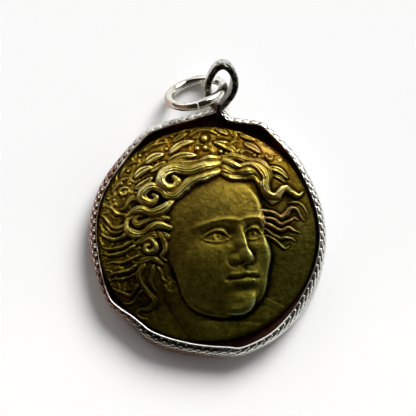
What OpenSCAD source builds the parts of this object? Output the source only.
// Coin pendant lying flat: a raised-head coin held in a hand-bent milled strip
// whose two sides meet at a neck and run on as an oval hanging loop, with a
// plain round jump ring threaded through the loop.
// Millimetres, +Z up. Origin at the centre of the coin's flat back.

/* [Coin] */
// Diameter of the coin
coin_d = 24.1; // [20:0.1:28]
// Diameter of the flat back that the pendant rests on
back_d = 22.2; // [18:0.1:22.5]
// Height of the coin's rim above the back
rim_h = 2.1; // [1.7:0.1:2.3]
// Height of the coin's plain field at its middle
field_h = 2.6; // [2.4:0.1:2.9]
// Rise of the raised head above the field
relief_h = 1.5; // [0.5:0.1:1.8]

/* [Strip] */
// Height of the strip, edge to edge across its flat back
strip_h = 2.6; // [2.2:0.1:2.8]
// Thickness of the strip from its flat back to the crown of its face
strip_t = 0.78; // [0.5:0.02:0.8]
// Height of the strip's lower edge above the coin's back
strip_lift = 0.3; // [0.2:0.05:0.5]

/* [Seat] */
// Thickness of the thin inner seat that closes the space under the coin's edge
seat_t = 0.2; // [0.15:0.05:0.25]
// Height of the seat's underside above the coin's back
seat_lift = 0.42; // [0.42:0.01:0.5]
// Clear space between the seat's inner edge and the coin's chamfer, sideways
seat_gap = 0.11; // [0.1:0.01:0.4]

/* [Loop] */
// Angle at which the loop is bent up out of the coin's plane
loop_rise = 30; // [27:1:34]
// Height above the coin's edge where that bend starts
loop_bend_at = 1.65; // [1.5:0.05:1.8]

/* [Neck] */
// Length of the solder between the strip's two sides at the neck
solder_len = 1.05; // [0.6:0.05:1.1]
// Height of that solder
solder_h = 1.3; // [0.8:0.1:1.6]

/* [Jump ring] */
// Inside diameter of the jump ring
ring_id = 5.08; // [4.9:0.02:5.2]
// Wire diameter of the jump ring
wire_d = 1.04; // [0.8:0.02:1.14]
// Lean of the ring from lying flat
ring_lean = 51; // [50:1:54]
// Turn of the ring about the upright
ring_turn = 17; // [14:1:20]
// Width of the butt seam in the wire
seam_w = 0.08; // [0.05:0.01:0.2]

/* [Hidden] */
$fn = 96;

coin_r = coin_d / 2;
strip_mid = strip_lift + strip_h / 2;
ring_r = (ring_id + wire_d) / 2;
ring_clear = 0.02;
seam_ang = 360 * seam_w / (2 * PI * ring_r);
seam_at = 96;
path_steps = 4;
face_steps = 12;
face_full = 3.2;
loop_full = 5;

// Strip round the coin, counter-clockwise from the left of the neck.
// columns: [angle round the coin, gap from the coin's edge to the strip's back, outward lean of the upper edge]
WRAP = [
  [100, 0.66, -3], [106, 0.63, -3], [113, 0.66, -3], [120, 0.74, -3],
  [130, 0.3, -2], [140, 0.12, -6], [150, 0.12, -6], [160, 0.13, -3],
  [170, 0.13, -4], [180, 0.13, -7], [190, 0.13, -7], [200, 0.13, 2],
  [205, 0.17, 8], [210, 0.25, 14], [216, 0.33, 18], [222, 0.2, 13],
  [228, 0.17, 2], [234, 0.29, -4], [241, 0.51, -8], [250, 0.53, -13],
  [260, 0.48, -11], [270, 0.59, -9], [280, 0.86, -6], [287, 1.08, 3],
  [300, 0.96, 4], [311, 0.81, -2], [320, 0.63, -6], [330, 0.49, -8],
  [340, 0.38, -6], [350, 0.29, -3], [360, 0.24, -2], [370, 0.18, -3],
  [380, 0.14, -4], [390, 0.17, -2], [400, 0.38, 0], [409, 0.52, 4],
  [418, 0.79, 10], [424, 1, 14], [430, 0.75, 9], [436, 0.58, 6]
];

// Strip from the right of the neck up, over the loop and down to the left of the neck.
// columns: [sideways from the coin's middle, height above the coin's edge, outward lean of the upper edge]
LOOP = [
  [2.3, 0.4, 2], [1.72, 1.05, 0], [1.37, 1.8, 0], [1.36, 2.5, 1],
  [1.8, 3.15, 4], [2.43, 3.95, 6], [2.66, 4.8, 6], [2.45, 5.62, 5],
  [1.85, 6.2, 3], [1.2, 5.95, 2], [0.66, 5.1, 2], [0.46, 4.1, 2],
  [0.6, 3.3, 1], [1.07, 2.7, 0], [1.2, 2.05, 0], [0.75, 1.45, 0],
  [-0.5, 1, -2]
];

// Raised masses of the head on the coin's face.
// columns: [sideways, upward, footprint radius, rise as a share of relief_h]
MASSES = [
  [-1.6, 2.6, 8.2, 0.75],
  [1.4, 0.2, 6.4, 1],
  [2.2, -3.2, 4.6, 0.9],
  [-4.6, -6.4, 3.6, 0.45],
  [-7.2, -1.4, 3.9, 0.55],
  [7.4, 2.4, 3.4, 0.4]
];

// Coin's outline in section: [radius, height]
COIN_SECTION = [
  [0, 0], [back_d / 2, 0], [coin_r, coin_r - back_d / 2], [coin_r, rim_h - 0.3],
  [coin_r - 0.3, rim_h], [coin_r * 0.8, field_h - 0.25],
  [coin_r * 0.5, field_h - 0.08], [0, field_h]
];

// Control rows as [x, y, lean] for the whole closed path
function control_rows() = concat(
  [for (w = WRAP) [(coin_r + w[1]) * cos(w[0]), (coin_r + w[1]) * sin(w[0]), w[2]]],
  [for (l = LOOP) [l[0], coin_r + l[1], l[2]]]
);

// Smooth curve through four neighbouring rows, t from 0 to 1 between the middle two
function curve(a, b, c, d, t) =
  0.5 * (2 * b + (c - a) * t + (2 * a - 5 * b + 4 * c - d) * t * t
  + (3 * b - a - 3 * c + d) * t * t * t);

// Height and slope of the bend that lifts the loop, at a given y
bend_soft = 0.3;
function bend_u(y) = (y - coin_r - loop_bend_at) / bend_soft;
function bend_z(y) = tan(loop_rise) * bend_soft * ln(1 + exp(bend_u(y)));
function bend_slope(y) = tan(loop_rise) / (1 + exp(-bend_u(y)));

function unit(v) = v / norm(v);

rows = control_rows();
row_n = len(rows);
stations = [
  for (i = [0 : row_n - 1], k = [0 : path_steps - 1])
    let (
      p = curve(rows[(i + row_n - 1) % row_n], rows[i],
                rows[(i + 1) % row_n], rows[(i + 2) % row_n], k / path_steps)
    ) [p[0], p[1], strip_mid + bend_z(p[1]), p[2]]
];
station_n = len(stations);
function at(s) = [s[0], s[1], s[2]];

// Where the seat joins the strip's back, for the stations that go round the coin and across the neck's foot
seat_top = seat_lift + seat_t;
seat_r = back_d / 2 + seat_top + seat_gap;
neck_rows = len(WRAP) + 3;
seat_stations = [
  for (j = [0 : station_n - 1])
    if (j < neck_rows * path_steps - path_steps || j > (row_n - 3) * path_steps) j
];
seat_outline = [
  for (j = seat_stations)
    let (
      s = stations[j],
      run = unit(at(stations[(j + 1) % station_n]) - at(stations[(j + station_n - 1) % station_n])),
      up0 = unit([0, -bend_slope(s[1]), 1]),
      out = unit(cross(run, up0)),
      edge = cross(out, run) * cos(s[3]) + out * sin(s[3]),
      down = max(0.1 - strip_h / 2, (seat_lift + seat_t / 2 - s[2]) / edge[2]),
      p = at(s) + edge * down + out * 0.1
    ) [p[0], p[1]]
];

// How full the strip's section is at a given y: squarer on the loop than round the coin
function fullness(y) = face_full + (loop_full - face_full) * min(1, max(0, y - coin_r - 2));
// Share of the way out (or up) at a place round the strip's face: fuller than an oval
function full(v, k) = sign(v) * pow(abs(v), 2 / k);

// Rings of points: a flat back with a full rounded face, standing square to the path
strip_points = [
  for (j = [0 : station_n - 1])
    let (
      s = stations[j],
      run = unit(at(stations[(j + 1) % station_n]) - at(stations[(j + station_n - 1) % station_n])),
      up0 = unit([0, -bend_slope(s[1]), 1]),
      out = unit(cross(run, up0)),
      up = cross(out, run),
      face = out * cos(s[3]) - up * sin(s[3]),
      edge = up * cos(s[3]) + out * sin(s[3]),
      k = fullness(s[1])
    )
    for (a = [0 : face_steps])
      at(s) + face * strip_t * full(a == face_steps ? 0 : sin(180 * a / face_steps), k)
            + edge * strip_h / 2 * full(cos(180 * a / face_steps), k)
];
ring_n = face_steps + 1;
strip_faces = [
  for (j = [0 : station_n - 1], a = [0 : face_steps])
    let (
      n = (j + 1) % station_n, b = (a + 1) % ring_n,
      p = j * ring_n + a, q = j * ring_n + b,
      r = n * ring_n + b, t = n * ring_n + a
    )
    each [[p, r, q], [p, t, r]]
];

// One raised mass: the top of a large ball, kept inside its own footprint
module mass(x, y, foot, rise) {
  ball = (foot * foot + rise * rise) / (2 * rise);
  base = field_h - 0.15;
  intersection() {
    translate([x, y, base + rise - ball]) sphere(r = ball);
    translate([x, y, 0.8]) cylinder(r = foot * 0.97, h = 6);
    translate([0, 0, 0.8]) cylinder(r = coin_r - 0.5, h = 6);
  }
}

module coin() {
  color("DarkGoldenrod")
  union() {
    rotate_extrude() polygon(COIN_SECTION);
    for (m = MASSES) mass(m[0], m[1], m[2], m[3] * relief_h);
  }
}

// Solder that fills the slot where the strip's two sides meet, sunk below their upper edges
solder_w = 0.62;
solder_x = 1.27;
solder_y = coin_r + 2.17;
module neck_solder() {
  translate([solder_x, solder_y, strip_mid + bend_z(solder_y)])
    rotate([atan(bend_slope(solder_y)), 0, 0])
      cube([solder_w, solder_len, solder_h], center = true);
}

module bezel_frame() {
  color("Silver")
  union() {
    neck_solder();
    polyhedron(points = strip_points, faces = strip_faces, convexity = 10);
    translate([0, 0, seat_lift])
      linear_extrude(height = seat_t)
        difference() {
          polygon(seat_outline);
          circle(r = seat_r);
        }
  }
}

module jump_ring() {
  color("Gainsboro")
  translate([-1.22, coin_r + 3.66, wire_d / 2 + ring_clear + ring_r * sin(ring_lean)])
    rotate([180 - ring_lean, 0, ring_turn])
      rotate([0, 0, seam_at + seam_ang / 2])
        rotate_extrude(angle = 360 - seam_ang)
          translate([ring_r, 0]) circle(d = wire_d);
}

coin();
bezel_frame();
jump_ring();
